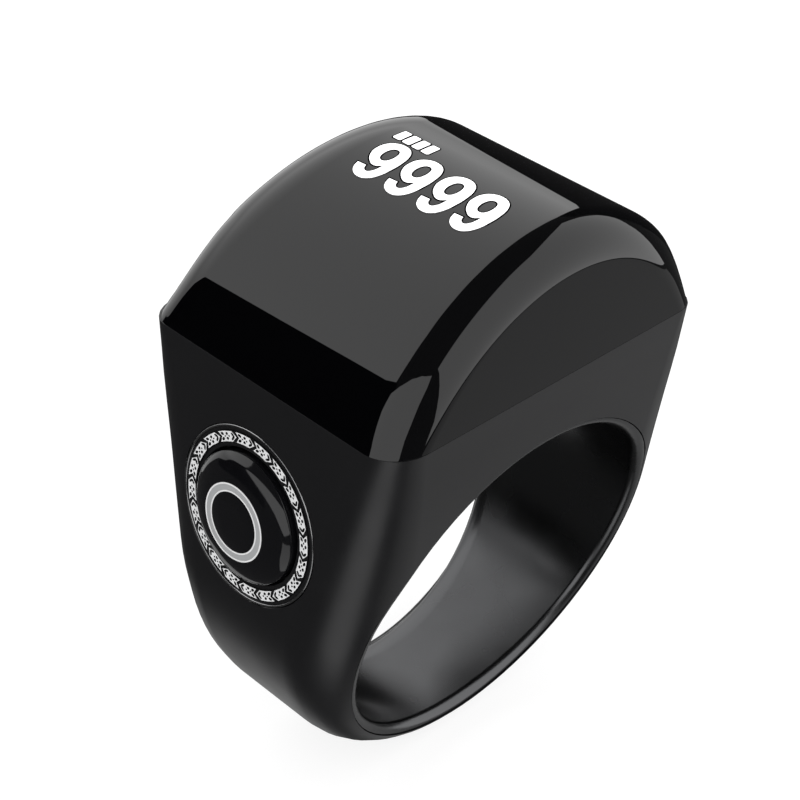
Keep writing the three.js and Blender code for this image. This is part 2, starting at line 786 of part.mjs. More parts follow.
function displayRibbonSolid() {
  const upper = panelZ + glassThickness + ribbonThickness / 2 + 0.02;
  const lower = boardTop + connectorHeight + ribbonThickness / 2 + 0.02;
  const radius = (upper - lower) / 2;
  const turnX = -panelHalfX - 0.75;
  const path = [[-panelHalfX + panelLedge - 0.1, upper]];
  for (let i = 0; i <= 10; i++) {
    const a = Math.PI / 2 + (Math.PI * i) / 10;
    path.push([turnX + radius * Math.cos(a), lower + radius + radius * Math.sin(a)]);
  }
  path.push([1.4 - panelHalfX, lower]);
  return ribbon(path, ribbonThickness, -displayRibbonHalfWidth, displayRibbonHalfWidth);
}

// A tab leaves the end of the cell and turns up to the board.
function tabSolid(x) {
  const [y0, y1] = [cellHalfY, cellHalfY + 0.3];
  const level = cellZ + cellThickness / 2;
  const foot = block(x - 0.6, x + 0.6, y0, y1, level - 0.05, level + 0.05);
  return foot.add(block(x - 0.6, x + 0.6, y1 - ribbonThickness, y1, level - 0.05, boardZ));
}

function cellSolid() {
  const [halfX, halfY] = [(cellX1 - cellX0) / 2, cellHalfY];
  const bevel = 0.35;
  const inner = roundedRectangle(halfX - bevel, halfY - bevel, 0.5);
  const settings = {
    depth: cellThickness - 2 * bevel,
    bevelEnabled: true,
    bevelThickness: bevel,
    bevelSize: bevel,
    bevelSegments: 2,
    curveSegments: 4,
  };
  const geometry = new THREE.ExtrudeGeometry(inner, settings);
  return solid(geometry.translate((cellX0 + cellX1) / 2, 0, cellZ + bevel));
}

function padSolid() {
  const shape = roundedRectangle((cellX1 - cellX0) / 2 - 0.3, cellHalfY - 0.3, 0.4);
  const middle = (cellX0 + cellX1) / 2;
  return plate(shape, cellZ - padThickness, cellZ).translate([middle, 0, 0]);
}

function motorCaseSolid() {
  const inner = motorRadius - motorWall;
  const top = motorZ + motorHeight;
  const profile = [
    [inner, motorZ],
    [motorRadius, motorZ],
    [motorRadius, top - 0.25],
    [motorRadius - 0.25, top],
    [0, top],
    [0, top - motorWall],
    [inner, top - motorWall],
    [inner, motorZ],
  ];
  return solid(turnedGeometry(profile, 48).translate(motorX, 0, 0));
}

function motorBaseSolid() {
  return rodAt(motorX, 0, motorRadius - motorWall - slip, motorZ, motorZ + motorFloor, 48);
}

function motorShaftSolid() {
  return rodAt(motorX, 0, shaftRadius, motorZ + motorFloor, motorZ + motorHeight - motorWall, 16);
}

// A half disc round the shaft: its weight is all on one side, which makes the buzz.
function motorWeightSolid() {
  const [z0, z1] = [motorZ + motorFloor + 0.2, motorZ + motorHeight - motorWall - 0.2];
  const shape = new THREE.Shape();
  const reach = motorRadius - motorWall - 0.2;
  shape.absarc(0, 0, reach, -Math.PI / 2, Math.PI / 2);
  shape.absarc(0, 0, 0.8, Math.PI / 2, Math.PI * 1.5);
  shape.closePath();
  const hole = new THREE.Path().absarc(0, 0, shaftRadius + slip, 0, Math.PI * 2);
  shape.holes.push(hole);
  return plate(shape, z0, z1, 20).translate([motorX, 0, 0]);
}

function contactSolid(y) {
  const profile = [
    [0, boreRadius],
    [contactRadius, boreRadius],
    [contactRadius, boreRadius + contactHead],
    [contactShank, boreRadius + contactHead],
    [contactShank, floorZ + contactTop],
    [0, floorZ + contactTop],
  ];
  return solid(turnedGeometry(profile, 32).translate(0, y, 0));
}

function sleeveSolid(y) {
  const profile = [
    [contactRadius + slip, boreRadius],
    [sleeveRadius, boreRadius],
    [sleeveRadius, floorZ],
    [contactShank + slip, floorZ],
    [contactShank + slip, boreRadius + contactHead],
    [contactRadius + slip, boreRadius + contactHead],
    [contactRadius + slip, boreRadius],
  ];
  return solid(turnedGeometry(profile, 32).translate(0, y, 0));
}

function contactRibbonSolid() {
  const z = floorZ + contactTop + ribbonThickness / 2;
  const x = cellX0 - 0.3;
  const path = [[0.55, z], [x + 0.3, z], [x + 0.09, z + 0.09], [x, z + 0.3], [x, boardZ - 0.02]];
  return ribbon(path, ribbonThickness, -contactY - 0.5, contactY + 0.5);
}

function chipSolid(x, y, sizeX, sizeY, height) {
  return block(x - sizeX / 2, x + sizeX / 2, y - sizeY / 2, y + sizeY / 2, boardTop, boardTop + height);
}

// Assembly

const ring = new THREE.Group();
const shell = new THREE.Group();
const electronics = new THREE.Group();
const motor = new THREE.Group();
ring.add(shell, buttonFrame, electronics, motor);

addPart(shell, "housing", housingSolid(), black);
addPart(shell, "inner_liner", linerSolid(), black);
addPart(shell, "display_cover", coverSolid(), gloss);
addPart(shell, "cover_gasket", gasketSolid(), rubber);

addPart(buttonFrame, "button_bezel", bezelSolid(), black);
addPart(buttonFrame, "ornament_ring", ornamentSolid(), steel);
addPart(buttonFrame, "button_cap", capSolid(), gloss);
addPart(buttonFrame, "button_light_ring", lightRingSolid(), lit);
addPart(buttonFrame, "button_seal", sealSolid(), rubber);
addPart(buttonFrame, "switch_body", switchBodySolid(), chip);
addPart(buttonFrame, "switch_plunger", plungerSolid(), ivory);
addPart(electronics, "switch_flex", switchRibbonSolid(), amber);

addPart(electronics, "mid_frame", traySolid(), plastic);
addPart(electronics, "main_board", boardSolid(), boardGreen);
addPart(electronics, "bluetooth_chip", chipSolid(0.9, 1.4, 4, 4, 0.7), chip);
addPart(electronics, "power_chip", chipSolid(4.4, -2.2, 2, 2, 0.5), chip);
addPart(electronics, "crystal", chipSolid(0.9, -3.3, 2, 1.6, 0.5), steel);
addPart(electronics, "chip_antenna", chipSolid(boardHalfX - antennaInset, 0, 1.2, 5, 0.8), ivory);
const connectorWidth = 2 * displayRibbonHalfWidth + 0.6;
const connector = chipSolid(0.5 - panelHalfX, 0, 1.7, connectorWidth, connectorHeight);
addPart(electronics, "display_connector", connector, ivory);
addPart(electronics, "display_bracket", bracketSolid(), plastic);
addPart(electronics, "display_panel", panelSolid(), gloss);
addPart(electronics, "display_flex", displayRibbonSolid(), amber);
addPart(electronics, "battery", cellSolid(), foil);
addPart(electronics, "battery_pad", padSolid(), rubber);
addPart(electronics, "battery_tab_positive", tabSolid(cellX1 - tabInset), steel);
addPart(electronics, "battery_tab_negative", tabSolid(cellX0 + tabInset), steel);
screwPlaces().forEach(([x, y], i) => addPart(electronics, `frame_screw_${i + 1}`, screwSolid(x, y), steel));

addPart(motor, "motor_case", motorCaseSolid(), steel);
addPart(motor, "motor_base", motorBaseSolid(), steel);
addPart(motor, "motor_shaft", motorShaftSolid(), steel);
addPart(motor, "motor_weight", motorWeightSolid(), steel);

addPart(electronics, "charge_contact_front", contactSolid(-contactY), gold);
addPart(electronics, "charge_contact_back", contactSolid(contactY), gold);
addPart(electronics, "contact_sleeve_front", sleeveSolid(-contactY), ivory);
addPart(electronics, "contact_sleeve_back", sleeveSolid(contactY), ivory);
addPart(electronics, "contact_flex", contactRibbonSolid(), amber);

export default ring;
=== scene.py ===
# A finger ring that counts: a black metal body with a domed black cover over its display, and a push button
# in a silver ornament ring on its side. Put together in the order in which the real one is assembled.
import math

import bpy
from mathutils import Matrix, Vector


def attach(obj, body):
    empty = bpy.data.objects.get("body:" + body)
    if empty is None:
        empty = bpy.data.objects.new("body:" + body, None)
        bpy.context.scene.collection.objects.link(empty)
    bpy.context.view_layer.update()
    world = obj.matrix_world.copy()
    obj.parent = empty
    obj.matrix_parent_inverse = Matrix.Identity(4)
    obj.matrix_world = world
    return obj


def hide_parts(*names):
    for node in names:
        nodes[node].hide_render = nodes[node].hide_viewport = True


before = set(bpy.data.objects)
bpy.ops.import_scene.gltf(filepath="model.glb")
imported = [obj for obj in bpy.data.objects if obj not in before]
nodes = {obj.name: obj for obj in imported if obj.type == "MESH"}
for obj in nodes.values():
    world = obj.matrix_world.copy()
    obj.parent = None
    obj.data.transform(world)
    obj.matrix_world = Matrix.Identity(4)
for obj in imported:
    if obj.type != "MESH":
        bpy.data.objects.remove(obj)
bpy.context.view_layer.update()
MM = 0.001


# Housing: the ring's body, cast in a light alloy, blasted fine and coated satin black. The finger bore and
# the side faces are cut first, then the round recess for the button and the well for the electronics.
def only(piece):
    bpy.ops.object.select_all(action="DESELECT")
    piece.select_set(True)
    bpy.context.view_layer.objects.active = piece


# Points closer than this are one, in metres, and faces that meet within this many degrees are one face.
WELD, FLAT_WITHIN = 1e-7, 0.05


# A copy of a CAD solid, its stray edges dissolved and its shading evened, to be worked on further.
def finer_copy(node, name, crease):
    piece = bpy.data.objects.new(name, nodes[node].data.copy())
    bpy.context.scene.collection.objects.link(piece)
    piece.data.materials.clear()
    only(piece)
    bpy.ops.object.mode_set(mode="EDIT")
    bpy.ops.mesh.select_all(action="SELECT")
    bpy.ops.mesh.remove_doubles(threshold=WELD)
    bpy.ops.mesh.dissolve_limited(angle_limit=math.radians(FLAT_WITHIN))
    bpy.ops.object.mode_set(mode="OBJECT")
    evened_normals(piece, crease)
    return piece


def evened_normals(piece, crease):
    only(piece)
    bpy.ops.object.shade_smooth_by_angle(angle=math.radians(crease))
    even = piece.modifiers.new("even shading", "WEIGHTED_NORMAL")
    even.mode = "FACE_AREA"
    even.keep_sharp = True
    bpy.ops.object.modifier_apply(modifier=even.name)


def finish_named(name, colour, roughness, metallic=0.0):
    finish = bpy.data.materials.new(name)
    finish.use_nodes = True
    surface = finish.node_tree.nodes["Principled BSDF"]
    surface.inputs["Base Color"].default_value = (*colour, 1)
    surface.inputs["Roughness"].default_value = roughness
    surface.inputs["Metallic"].default_value = metallic
    return finish, finish.node_tree, surface


# Fine grain, as a blasted or moulded skin has it: two sizes of noise, as a height and as a spread of values.
def grain_group():
    group = bpy.data.node_groups.new("fine grain", "ShaderNodeTree")
    face = group.interface
    face.new_socket("Size", in_out="INPUT", socket_type="NodeSocketFloat")
    face.new_socket("Low", in_out="INPUT", socket_type="NodeSocketFloat")
    face.new_socket("High", in_out="INPUT", socket_type="NodeSocketFloat")
    face.new_socket("Height", in_out="OUTPUT", socket_type="NodeSocketFloat")
    face.new_socket("Roughness", in_out="OUTPUT", socket_type="NodeSocketFloat")
    inside, links = group.nodes, group.links
    entry = inside.new("NodeGroupInput")
    leave = inside.new("NodeGroupOutput")
    place = inside.new("ShaderNodeTexCoord")
    grain = inside.new("ShaderNodeTexNoise")
    grain.inputs["Detail"].default_value = 3
    cloud = inside.new("ShaderNodeTexNoise")
    cloud.inputs["Scale"].default_value = 260
    cloud.inputs["Detail"].default_value = 2
    spread = inside.new("ShaderNodeMapRange")
    links.new(place.outputs["Object"], grain.inputs["Vector"])
    links.new(place.outputs["Object"], cloud.inputs["Vector"])
    links.new(entry.outputs["Size"], grain.inputs["Scale"])
    links.new(cloud.outputs["Fac"], spread.inputs["Value"])
    spread.inputs["From Min"].default_value = 0.3
    spread.inputs["From Max"].default_value = 0.7
    links.new(entry.outputs["Low"], spread.inputs["To Min"])
    links.new(entry.outputs["High"], spread.inputs["To Max"])
    links.new(grain.outputs["Fac"], leave.inputs["Height"])
    links.new(spread.outputs["Result"], leave.inputs["Roughness"])
    return group


grain = grain_group()


# Grain of the given size on a surface, with its roughness between low and high.
def add_grain(tree, surface, size, low, high, strength):
    fine = tree.nodes.new("ShaderNodeGroup")
    fine.node_tree = grain
    fine.inputs["Size"].default_value = size
    fine.inputs["Low"].default_value = low
    fine.inputs["High"].default_value = high
    bump = tree.nodes.new("ShaderNodeBump")
    bump.inputs["Strength"].default_value = strength
    bump.inputs["Distance"].default_value = 0.00001
    tree.links.new(fine.outputs["Height"], bump.inputs["Height"])
    tree.links.new(bump.outputs["Normal"], surface.inputs["Normal"])
    tree.links.new(fine.outputs["Roughness"], surface.inputs["Roughness"])


satin_black, tree, surface = finish_named("satin black coat", (0.0045, 0.0045, 0.0052), 0.36)
add_grain(tree, surface, 9000, 0.33, 0.39, 0.12)
surface.inputs["Specular IOR Level"].default_value = 0.62

# The body in millimetres: a round band whose sides lean in as they rise to the head. It deepens, and its end
# fillets grow, from the band's foot to the parting line with the cover, with a bow between.
BAND_RADIUS, BAND_Z, PARTING_Z = 12.65, 1.05, 14.4
LEAN = math.radians(6.5)
FOOT_DEPTH, TOP_DEPTH, DEPTH_BOW = 4, 9.2, 0.58
FOOT_FILLET, TOP_FILLET, FILLET_BOW = 1.4, 2.1, 2.05


# How far the body's ends stand out from its middle at a height, and how deep their fillets are there.
def end_of_body(z):
    share = (z - BAND_Z + BAND_RADIUS) / (PARTING_Z - BAND_Z + BAND_RADIUS)
    bow = 4 * share * (1 - share)
    depth = FOOT_DEPTH + (TOP_DEPTH - FOOT_DEPTH) * share + DEPTH_BOW * bow
    fillet = FOOT_FILLET + (TOP_FILLET - FOOT_FILLET) * share + FILLET_BOW * bow
    return depth, fillet


# How far in from the body's outline a point lies, seen along the finger bore.
def depth_inside(x, z):
    if math.atan2(z - BAND_Z, abs(x)) < LEAN:
        return BAND_RADIUS - math.hypot(x, z - BAND_Z)
    return BAND_RADIUS - abs(x) * math.cos(LEAN) - (z - BAND_Z) * math.sin(LEAN)


def half_width(z):
    return (BAND_RADIUS - (z - BAND_Z) * math.sin(LEAN)) / math.cos(LEAN)


# A share that starts and stops softly.
def eased(share):
    share = min(max(share, 0), 1)
    return share**2 * (3 - 2 * share)


# The lower part of the bore's back edge is scooped in, so that the finger can bend. The scoop starts a little
# in from the body's outline, and it fades out towards the middle of the band.
SCOOP_DEPTH, SCOOP_TOP_Z, SCOOP_RUN = 1.3, 6, 10
RIM_KEPT, RIM_BLEND = 0.25, 0.9
SCOOP_REACH = 2.5


def back_scoop(x, z):
    inward = min(max((depth_inside(x, z) - RIM_KEPT) / RIM_BLEND, 0), 1)
    return SCOOP_DEPTH * eased((SCOOP_TOP_Z - z) / SCOOP_RUN) * inward


def scoop_back(piece):
    for vertex in piece.data.vertices:
        x, y, z = vertex.co / MM
        if y > 0:
            vertex.co.y -= back_scoop(x, z) * min(y / SCOOP_REACH, 1) * MM


# The head draws in a little round the parting line, at the back end and on the side away from the button.
DRAWN_LOW_Z, DRAWN_HIGH_Z = 10, 19.4
DRAWN_SHARE, DRAWN_EDGE = 0.275, 2


def draw_in(z):
    low_run, high_run = PARTING_Z - DRAWN_LOW_Z, DRAWN_HIGH_Z - PARTING_Z
    share = (z - DRAWN_LOW_Z) / low_run if z < PARTING_Z else (DRAWN_HIGH_Z - z) / high_run
    return DRAWN_SHARE * eased(share)


def drawn_in(x, y, side, back, factor):
    side_edge, back_edge = side - DRAWN_EDGE, back - DRAWN_EDGE
    if x > side_edge:
        x = side_edge + (x - side_edge) * factor
    if y > back_edge:
        y = back_edge + (y - back_edge) * factor
    return x, y


def draw_body_in(piece):
    for vertex in piece.data.vertices:
        x, y, z = vertex.co / MM
        if z > DRAWN_LOW_Z:
            x, y = drawn_in(x, y, half_width(z), end_of_body(z)[0], 1 - draw_in(z))
            vertex.co = Vector((x, y, z)) * MM


# Nought on the body's outside, whose edges are quarter rounds as deep as the fillet is there.
def body_form(x, y, z):
    if y > 0:
        y += back_scoop(x, z)
    if z > DRAWN_LOW_Z:
        x, y = drawn_in(x, y, half_width(z), end_of_body(z)[0], 1 / (1 - draw_in(z)))
    depth, fillet = end_of_body(z)
    near_side = max(1 - depth_inside(x, z) / fillet, 0)
    near_end = max(1 - (depth - abs(y)) / fillet, 0)
    return near_side**2 + near_end**2 - 1


# The CAD's facets are small but flat, so each corner that lies on the smooth form is shaded by its slope.
def shaded_by_form(piece, form):
    mesh = piece.data
    normals = [corner.vector.copy() for corner in mesh.corner_normals]
    reach, near_enough, same_way, tiny = 0.001, 0.12, 0.92, 1e-9
    for face in mesh.polygons:
        for index in face.loop_indices:
            x, y, z = mesh.vertices[mesh.loops[index].vertex_index].co / MM
            if abs(form(x, y, z)) > near_enough:
                continue
            slope = Vector((
                form(x + reach, y, z) - form(x - reach, y, z),
                form(x, y + reach, z) - form(x, y - reach, z),
                form(x, y, z + reach) - form(x, y, z - reach),
            ))
            if slope.length == 0:
                continue
            slope.normalize()
            if face.area < tiny or slope.dot(face.normal) > same_way:
                normals[index] = slope
    mesh.normals_split_custom_set(normals)


housing = finer_copy("housing", "ring_body", crease=40)
scoop_back(housing)
draw_body_in(housing)
shaded_by_form(housing, body_form)
housing.data.materials.append(satin_black)
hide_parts("housing")
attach(housing, "body")


# Inner liner: a smooth sleeve bonded into the finger bore, its lips rounded over for the finger. The same
# black coat as the body, polished by wear to a closer shine.
worn_black, tree, surface = finish_named("polished black coat", (0.1, 0.101, 0.104), 0.24, 1.0)
add_grain(tree, surface, 5200, 0.22, 0.3, 0.08)
surface.inputs["Specular IOR Level"].default_value = 0.7

BORE_RADIUS, LINER_RADIUS, LIP_RISE = 10, 10.55, 0.5
FRONT_LIP, BACK_LIP, SET_BACK = 0.9, 1.7, 0.05


# Nought on the sleeve's inside, whose two lips roll out to just short of the body's ends.
def bore_form(x, y, z):
    radius = math.hypot(x, z)
    if y > 0:
        y += back_scoop(x, z)
    depth, fillet = end_of_body(LINER_RADIUS * z / radius)
    share = max(1 - depth_inside(LINER_RADIUS * x / radius, LINER_RADIUS * z / radius) / fillet, 0)
    face = depth - fillet * (1 - math.sqrt(1 - share**2)) - SET_BACK
    lip = FRONT_LIP if y < 0 else BACK_LIP
    foot = min(end_of_body(BORE_RADIUS * z / radius)[0] - lip, face - lip / 2)
    rise = max(1 - (radius - BORE_RADIUS) / LIP_RISE, 0)
    run = max((abs(y) - foot) / (face - foot), 0)
    return rise**2 + run**2 - 1


liner = finer_copy("inner_liner", "bore_sleeve", crease=40)
scoop_back(liner)
shaded_by_form(liner, bore_form)
liner.data.materials.append(worn_black)
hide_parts("inner_liner")
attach(liner, "body")


# Push button: a domed polished cap with a shallow crown, trapped by its flange under the bezel. All its
# round pieces are turned or moulded about one axis, square to the leaning side of the body.
BUTTON_Z = 6.95
OUT = Vector((-math.cos(LEAN), 0, math.sin(LEAN)))
UP = Vector((math.sin(LEAN), 0, math.cos(LEAN)))
at_button = Matrix((UP, Vector((0, 1, 0)), OUT)).transposed().to_4x4()
at_button.translation = Vector((-half_width(BUTTON_Z), 0, BUTTON_Z)) * MM


TURNED_CREASE = 35


# A turned piece: its outline, given as radii and heights in millimetres, is spun once round.
def spun(name, outline, steps=128):
    bpy.ops.object.select_all(action="DESELECT")
    bpy.ops.mesh.primitive_plane_add(size=MM)
    piece = bpy.context.object
    piece.name = name
    bpy.ops.object.mode_set(mode="EDIT")
    bpy.ops.mesh.merge(type="CENTER")
    here = Vector((outline[0][0], 0, outline[0][1])) * MM
    bpy.ops.transform.translate(value=here)
    for radius, height in outline[1:]:
        there = Vector((radius, 0, height)) * MM
        bpy.ops.mesh.extrude_region_move(TRANSFORM_OT_translate={"value": there - here})
        here = there
    bpy.ops.mesh.select_all(action="SELECT")
    bpy.ops.mesh.spin(steps=steps, angle=math.tau, center=(0, 0, 0), axis=(0, 0, 1))
    bpy.ops.mesh.select_all(action="SELECT")
    bpy.ops.mesh.remove_doubles(threshold=WELD)
    bpy.ops.mesh.normals_make_consistent(inside=False)
    bpy.ops.object.mode_set(mode="OBJECT")
    return piece


# Points of an arc in such an outline, between two slopes in degrees.
def arc(centre_radius, centre_height, radius_x, radius_z, first, last, steps):
    points = []
    for i in range(steps + 1):
        slope = math.radians(first + (last - first) * i / steps)
        across, above = radius_x * math.cos(slope), radius_z * math.sin(slope)
        points.append((centre_radius + across, centre_height + above))
    return points


# Sets a turned piece at the button, in its finish, in place of CAD solids.
def fitted_at_button(piece, finish, body, slot_name, *replaced):
    piece.data.transform(at_button)
    piece.data.materials.append(finish)
    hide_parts(*replaced)
    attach(piece, body)


polished_black, tree, surface = finish_named("polished black cap", (0.0035, 0.0035, 0.0042), 0.07)
add_grain(tree, surface, 700, 0.05, 0.09, 0.03)

STEM_RADIUS, STEM_END = 1.2, -1.79
FLANGE_RADIUS, FLANGE_FOOT, FLANGE_TOP = 4.1, -0.85, -0.55
CAP_RADIUS, WALL_TOP = 3.5127, 0.24
GROOVE_OUT, GROOVE_IN, GROOVE_FLOOR, CROWN = 2.08, 1.62, 0.66, 0.9

cap_outline = [(0, STEM_END), (STEM_RADIUS, STEM_END), (STEM_RADIUS, FLANGE_FOOT)]
cap_outline += [(FLANGE_RADIUS, FLANGE_FOOT), (FLANGE_RADIUS, FLANGE_TOP), (CAP_RADIUS, FLANGE_TOP)]

# The shoulder is three arcs that run on from one another, each with its radius, its two slopes and its steps.
SHOULDER_ARCS = ((0.06, 0, 38, 4), (1.256, 38, 62, 10), (2.725, 62, 82, 10))
across, above, before = CAP_RADIUS, WALL_TOP, 0
for radius, first, last, steps in SHOULDER_ARCS:
    across += (before - radius) * math.cos(math.radians(first))
    above += (before - radius) * math.sin(math.radians(first))
    before = radius
    cap_outline += arc(across, above, radius, radius, first, last, steps)[min(first, 1):]

cap_outline += [(GROOVE_OUT + 0.04, CROWN + 0.014), (GROOVE_OUT, CROWN), (GROOVE_OUT, GROOVE_FLOOR)]
cap_outline += [(GROOVE_IN, GROOVE_FLOOR), (GROOVE_IN, CROWN + 0.01), (GROOVE_IN - 0.04, CROWN + 0.03)]
cap_outline += [(0.9, CROWN + 0.05), (0, CROWN + 0.06)]
cap = spun("push_button", cap_outline)
evened_normals(cap, TURNED_CREASE)
fitted_at_button(cap, polished_black, "button", "cap", "button_cap")


# Light ring: a pale moulded light guide let into the groove of the cap's crown, held between two thin rims
# that are polished white.
pale_guide, tree, surface = finish_named("pale light guide", (0.335, 0.34, 0.345), 0.4)
add_grain(tree, surface, 3000, 0.34, 0.46, 0.05)

guide_in, guide_out, guide_corner = GROOVE_IN + 0.01, GROOVE_OUT - 0.01, 0.04
guide_top = CROWN + 0.015
guide_outline = [(guide_in, GROOVE_FLOOR), (guide_out, GROOVE_FLOOR), (guide_out, CROWN)]
guide_outline += [(guide_out - guide_corner, guide_top), (guide_in + guide_corner, guide_top)]
guide_outline += [(guide_in, CROWN), (guide_in, GROOVE_FLOOR)]
light_ring = spun("light_ring", guide_outline)
evened_normals(light_ring, TURNED_CREASE)
fitted_at_button(light_ring, pale_guide, "button", "diffuser", "button_light_ring")

white_rim, tree, surface = finish_named("polished white rim", (0.72, 0.72, 0.72), 0.25)
add_grain(tree, surface, 3000, 0.2, 0.3, 0.03)
RIM_HALF, RIM_RISE, RIM_FOOT = 0.045, 0.03, CROWN + 0.01
for name, radius in (("light_ring_outer_rim", GROOVE_OUT - 0.04), ("light_ring_inner_rim", GROOVE_IN + 0.03)):
    rim_outline = arc(radius, RIM_FOOT, RIM_HALF, RIM_RISE, 0, 180, 6)
    rim_outline += [(radius - RIM_HALF, RIM_FOOT - 0.02), (radius + RIM_HALF, RIM_FOOT - 0.02)]
    rim_outline += [(radius + RIM_HALF, RIM_FOOT)]
    rim = spun(name, rim_outline)
    evened_normals(rim, TURNED_CREASE)
    rim.data.transform(at_button)
    rim.data.materials.append(white_rim)
    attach(rim, "button")


# Bezel: a turned black ring pressed into the recess. Its channel holds the ornament ring, and its lip holds
# the cap's flange down. A fine bead is turned bright round its outer edge.
BEZEL_OUT, BEZEL_IN, BEZEL_FOOT = 4.8, 4.2, -1.15
LIP_IN, LIP_FOOT, LIP_TOP = 3.64, -0.5, -0.02
CHANNEL_IN, CHANNEL_OUT, CHANNEL_FLOOR = 3.88, 4.47, -0.3
bezel_outline = [(BEZEL_IN, BEZEL_FOOT), (BEZEL_OUT, BEZEL_FOOT), (BEZEL_OUT, -0.06), (4.64, -0.06)]
bezel_outline += [(4.5, -0.04), (CHANNEL_OUT, -0.06), (CHANNEL_OUT, CHANNEL_FLOOR)]
bezel_outline += [(CHANNEL_IN, CHANNEL_FLOOR), (CHANNEL_IN, -0.04), (CHANNEL_IN - 0.04, LIP_TOP)]
bezel_outline += [(LIP_IN + 0.03, LIP_TOP), (LIP_IN, -0.05), (LIP_IN, LIP_FOOT)]
bezel_outline += [(BEZEL_IN, LIP_FOOT), (BEZEL_IN, BEZEL_FOOT)]
bezel = spun("button_rim", bezel_outline)
evened_normals(bezel, TURNED_CREASE)
fitted_at_button(bezel, satin_black, "body", "body", "button_bezel")

bright_bead, tree, surface = finish_named("bright turned bead", (0.36, 0.36, 0.365), 0.16, 1.0)
add_grain(tree, surface, 3600, 0.12, 0.22, 0.05)
BEAD, BEAD_HEIGHT, BEAD_FOOT = 0.07, -0.05, -0.1
bead_ring = BEZEL_OUT - BEAD
bead_outline = arc(bead_ring, BEAD_HEIGHT, BEAD, BEAD, -10, 190, 10)
bead_outline += [(bead_ring - 0.069, BEAD_FOOT), (bead_ring + 0.069, BEAD_FOOT), (bead_ring + 0.069, -0.062)]
bead = spun("button_rim_bead", bead_outline, steps=160)
evened_normals(bead, TURNED_CREASE)
bead.data.transform(at_button)
bead.data.materials.append(bright_bead)
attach(bead, "body")


# Ornament ring: twenty silver links on a thin black band, each with an arrow end nested in the notch of the
# next, and pierced with two pairs of drops, two dots and an arrow. Cast in one strip, bent round and set in.
silver, tree, surface = finish_named("bright silver", (0.86, 0.865, 0.87), 0.35, 0.2)
add_grain(tree, surface, 4200, 0.3, 0.42, 0.1)

BAND_OUT = CHANNEL_OUT - 0.01
band_outline = [(CHANNEL_IN, CHANNEL_FLOOR), (BAND_OUT, CHANNEL_FLOOR), (BAND_OUT, 0), (CHANNEL_IN, 0)]
band = spun("ornament_band", band_outline + band_outline[:1])
evened_normals(band, TURNED_CREASE)
fitted_at_button(band, satin_black, "body", "silver", "ornament_ring")

LINKS = 20
STEP = math.tau / LINKS
MIDDLE, LINK_IN, LINK_OUT = 4.18, 3.91, 4.45
LINK_FOOT, LINK_THICKNESS = -0.02, 0.07
TAIL, NOTCH, WAIST, HEAD, TIP = 0.06, 0.235, 0.45, 0.83, 1.085


# One link, its corners placed in shares of a step round the ring.
def ornament_link():
    bpy.ops.object.select_all(action="DESELECT")
    bpy.ops.mesh.primitive_circle_add(vertices=8, radius=MM, fill_type="NGON")
    link = bpy.context.object
    corners = [
        (LINK_OUT, TAIL), (LINK_OUT, WAIST), (LINK_OUT, HEAD), (MIDDLE, TIP),
        (LINK_IN, HEAD), (LINK_IN, WAIST), (LINK_IN, TAIL), (MIDDLE, NOTCH),
    ]
    for vertex, (radius, share) in zip(link.data.vertices, corners):
        turn = share * STEP
        vertex.co = Vector((radius * math.cos(turn), -radius * math.sin(turn), LINK_FOOT)) * MM
    bpy.ops.object.mode_set(mode="EDIT")
    bpy.ops.mesh.select_all(action="SELECT")
    bpy.ops.mesh.normals_make_consistent(inside=False)
    bpy.ops.mesh.extrude_region_move(TRANSFORM_OT_translate={"value": (0, 0, LINK_THICKNESS * MM)})
    bpy.ops.mesh.select_all(action="SELECT")
    bpy.ops.mesh.normals_make_consistent(inside=False)
    bpy.ops.object.mode_set(mode="OBJECT")
    return link


# A hole through a link, with its place and half sizes in millimetres along and across the ring.
def pierce(link, along, across, half_along, half_across, slant=0.0):
    bpy.ops.object.select_all(action="DESELECT")
    bpy.ops.mesh.primitive_cylinder_add(vertices=12, radius=MM, depth=0.5 * MM)
    drill = bpy.context.object
    drill.data.transform(Matrix.Diagonal((half_across, half_along, 1, 1)))
    drill.data.transform(Matrix.Rotation(-math.radians(slant), 4, "Z"))
    drill.data.transform(Matrix.Translation(((MIDDLE + across) * MM, 0, 0)))
    drill.data.transform(Matrix.Rotation(-along / MIDDLE, 4, "Z"))
    cut = link.modifiers.new("pierce", "BOOLEAN")
    cut.operation = "DIFFERENCE"
    cut.object = drill
    only(link)
    bpy.ops.object.modifier_apply(modifier=cut.name)
    bpy.data.objects.remove(drill)


first_link = ornament_link()
for side in (-1, 1):
    pierce(first_link, along=0.36, across=0.135 * side, half_along=0.125, half_across=0.078, slant=24 * side)
    pierce(first_link, along=0.71, across=0.125 * side, half_along=0.095, half_across=0.075)
    pierce(first_link, along=1.15, across=0.085 * side, half_along=0.16, half_across=0.068, slant=41 * side)
for along in (0.55, 0.857):
    pierce(first_link, along=along, across=0, half_along=0.06, half_across=0.048)
first_link.data.materials.append(silver)
first_link.data.materials.append(satin_black)
# The links' edges and the walls of their piercings take the body's black coat instead of silver: painted
# shade in the holes and in the gaps between links.
for face in first_link.data.polygons:
    face.material_index = 0 if face.normal.z > 0.5 else 1
for i in range(LINKS):
    link = bpy.data.objects.new("ornament_link_%02d" % (i + 1), first_link.data.copy())
    bpy.context.scene.collection.objects.link(link)
    link.data.transform(Matrix.Rotation(i * STEP, 4, "Z"))
    link.data.transform(at_button)
    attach(link, "body")
bpy.data.objects.remove(first_link)


# Display cover: one arched shell, moulded in see-through black and polished. Its front end leans out a little
# and has a tight rounded edge, and its back end slopes in and has a softer one.
CREST, ARCH, SHOULDER = 22.53, 11.08, math.radians(50)
HEAD_X, HEAD_Y, WALL = 11.2, 9.19, 1.3
FRONT_LEAN, BACK_SLOPE = math.radians(3), math.radians(17)
SKIRT, BLANK_HALF = 3, 14


